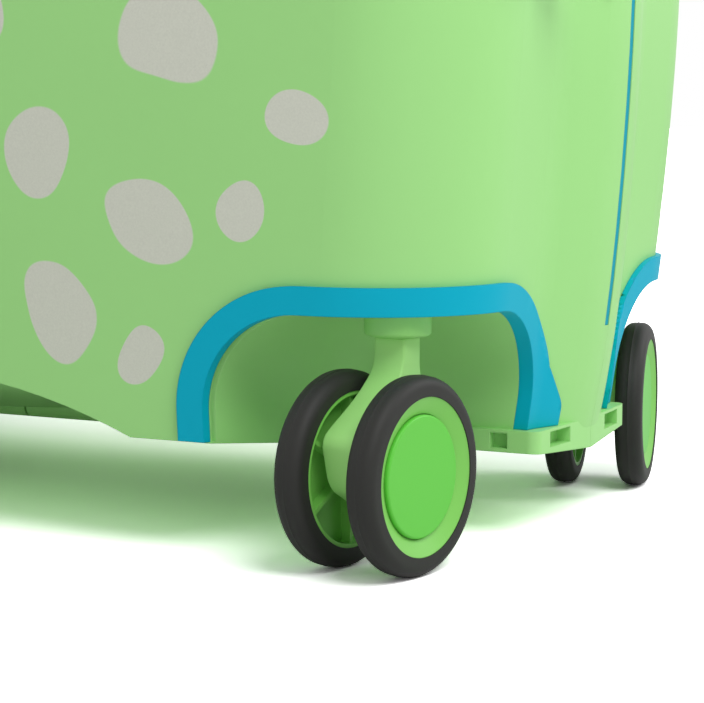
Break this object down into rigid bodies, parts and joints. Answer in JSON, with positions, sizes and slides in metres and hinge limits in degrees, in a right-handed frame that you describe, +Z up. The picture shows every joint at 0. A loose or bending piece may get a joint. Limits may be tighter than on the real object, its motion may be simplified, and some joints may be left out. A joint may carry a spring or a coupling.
{
  "type": "ride on suitcase",
  "caption": "Child's ride-on suitcase: two hinged half shells with a saddle top, hand grips, end latches, wheel-arch trims and swivelling twin-wheel casters.",
  "frame": {"origin": "on the floor below the middle of the case", "axes": "+X towards the front end with the hand grips, +Y towards the far half that opens, +Z up"},
  "size_m": [0.479, 0.2836, 0.3478],
  "materials": {
    "shell_green": "satin light green moulded shell",
    "seal_teal": "matt teal seal",
    "trim_blue": "semi-gloss cyan",
    "grip_blue": "soft matt cyan",
    "latch_blue": "semi-gloss cyan",
    "caster_green": "satin green",
    "hub_green": "satin green",
    "cap_green": "satin deep green",
    "tyre_black": "matt rubber",
    "steel": "bright steel"
  },
  "bodies": {
    "near_half": {"near_shell": "shell_green", "seam_seal": "seal_teal", "near_front_arch": "trim_blue", "near_rear_arch": "trim_blue", "hinge_pin": "steel", "near_front_socket": "caster_green", "near_rear_socket": "caster_green", "near_socket_nuts": "steel", "latch_pins": "steel", "near_grip": "grip_blue", "front_strap_eye": "trim_blue", "rear_strap_eye": "trim_blue"},
    "far_half": {"far_shell": "shell_green", "far_front_arch": "trim_blue", "far_rear_arch": "trim_blue", "far_front_socket": "caster_green", "far_rear_socket": "caster_green", "far_socket_nuts": "steel", "front_latch_keeper": "latch_blue", "rear_latch_keeper": "latch_blue", "far_grip": "grip_blue"},
    "near_front_swivel": {"near_front_stem": "steel", "near_front_fork": "caster_green", "near_front_axle": "steel"},
    "near_front_wheel_a": {"near_front_hub_a": "hub_green", "near_front_tyre_a": "tyre_black", "near_front_cap_a": "cap_green"},
    "near_front_wheel_b": {"near_front_hub_b": "hub_green", "near_front_tyre_b": "tyre_black", "near_front_cap_b": "cap_green"},
    "far_front_swivel": {"far_front_stem": "steel", "far_front_fork": "caster_green", "far_front_axle": "steel"},
    "far_front_wheel_a": {"far_front_hub_a": "hub_green", "far_front_tyre_a": "tyre_black", "far_front_cap_a": "cap_green"},
    "far_front_wheel_b": {"far_front_hub_b": "hub_green", "far_front_tyre_b": "tyre_black", "far_front_cap_b": "cap_green"},
    "near_rear_swivel": {"near_rear_stem": "steel", "near_rear_fork": "caster_green", "near_rear_axle": "steel"},
    "near_rear_wheel_a": {"near_rear_hub_a": "hub_green", "near_rear_tyre_a": "tyre_black", "near_rear_cap_a": "cap_green"},
    "near_rear_wheel_b": {"near_rear_hub_b": "hub_green", "near_rear_tyre_b": "tyre_black", "near_rear_cap_b": "cap_green"},
    "far_rear_swivel": {"far_rear_stem": "steel", "far_rear_fork": "caster_green", "far_rear_axle": "steel"},
    "far_rear_wheel_a": {"far_rear_hub_a": "hub_green", "far_rear_tyre_a": "tyre_black", "far_rear_cap_a": "cap_green"},
    "far_rear_wheel_b": {"far_rear_hub_b": "hub_green", "far_rear_tyre_b": "tyre_black", "far_rear_cap_b": "cap_green"},
    "front_latch": {"front_latch_lever": "latch_blue"},
    "rear_latch": {"rear_latch_lever": "latch_blue"}
  },
  "joints": [
    {"name": "case_opening", "type": "hinge", "parent": "near_half", "child": "far_half", "pos_m": [0, 0, 0.028], "axis": [-1, 0, 0], "range_deg": [0, 100]},
    {"name": "near_front_swivel_turn", "type": "hinge", "parent": "near_half", "child": "near_front_swivel", "pos_m": [0.185, -0.096, 0.06], "axis": [0, 0, 1], "continuous": true},
    {"name": "near_front_wheel_a_spin", "type": "hinge", "parent": "near_front_swivel", "child": "near_front_wheel_a", "pos_m": [0.19722, -0.10941, 0.0325], "axis": [0.9905, -0.1374, 0], "continuous": true},
    {"name": "near_front_wheel_b_spin", "type": "hinge", "parent": "near_front_swivel", "child": "near_front_wheel_b", "pos_m": [0.16959, -0.10557, 0.0325], "axis": [0.9905, -0.1374, 0], "continuous": true},
    {"name": "far_front_swivel_turn", "type": "hinge", "parent": "far_half", "child": "far_front_swivel", "pos_m": [0.185, 0.096, 0.06], "axis": [0, 0, 1], "continuous": true},
    {"name": "far_front_wheel_a_spin", "type": "hinge", "parent": "far_front_swivel", "child": "far_front_wheel_a", "pos_m": [0.20123, 0.08789, 0.0325], "axis": [0.9736, 0.2284, 0], "continuous": true},
    {"name": "far_front_wheel_b_spin", "type": "hinge", "parent": "far_front_swivel", "child": "far_front_wheel_b", "pos_m": [0.17407, 0.08152, 0.0325], "axis": [0.9736, 0.2284, 0], "continuous": true},
    {"name": "near_rear_swivel_turn", "type": "hinge", "parent": "near_half", "child": "near_rear_swivel", "pos_m": [-0.185, -0.096, 0.06], "axis": [0, 0, 1], "continuous": true},
    {"name": "near_rear_wheel_a_spin", "type": "hinge", "parent": "near_rear_swivel", "child": "near_rear_wheel_a", "pos_m": [-0.17189, -0.10854, 0.0325], "axis": [0.9976, -0.0698, 0], "continuous": true},
    {"name": "near_rear_wheel_b_spin", "type": "hinge", "parent": "near_rear_swivel", "child": "near_rear_wheel_b", "pos_m": [-0.19973, -0.1066, 0.0325], "axis": [0.9976, -0.0698, 0], "continuous": true},
    {"name": "far_rear_swivel_turn", "type": "hinge", "parent": "far_half", "child": "far_rear_swivel", "pos_m": [-0.185, 0.096, 0.06], "axis": [0, 0, 1], "continuous": true},
    {"name": "far_rear_wheel_a_spin", "type": "hinge", "parent": "far_rear_swivel", "child": "far_rear_wheel_a", "pos_m": [-0.19722, 0.10941, 0.0325], "axis": [-0.9905, 0.1374, 0], "continuous": true},
    {"name": "far_rear_wheel_b_spin", "type": "hinge", "parent": "far_rear_swivel", "child": "far_rear_wheel_b", "pos_m": [-0.16959, 0.10557, 0.0325], "axis": [-0.9905, 0.1374, 0], "continuous": true},
    {"name": "front_latch_turn", "type": "hinge", "parent": "near_half", "child": "front_latch", "pos_m": [0.2258, -0.019, 0.206], "axis": [0, 0, -1], "range_deg": [0, 110]},
    {"name": "rear_latch_turn", "type": "hinge", "parent": "near_half", "child": "rear_latch", "pos_m": [-0.2258, -0.019, 0.206], "axis": [0, 0, 1], "range_deg": [0, 110]}
  ]
}
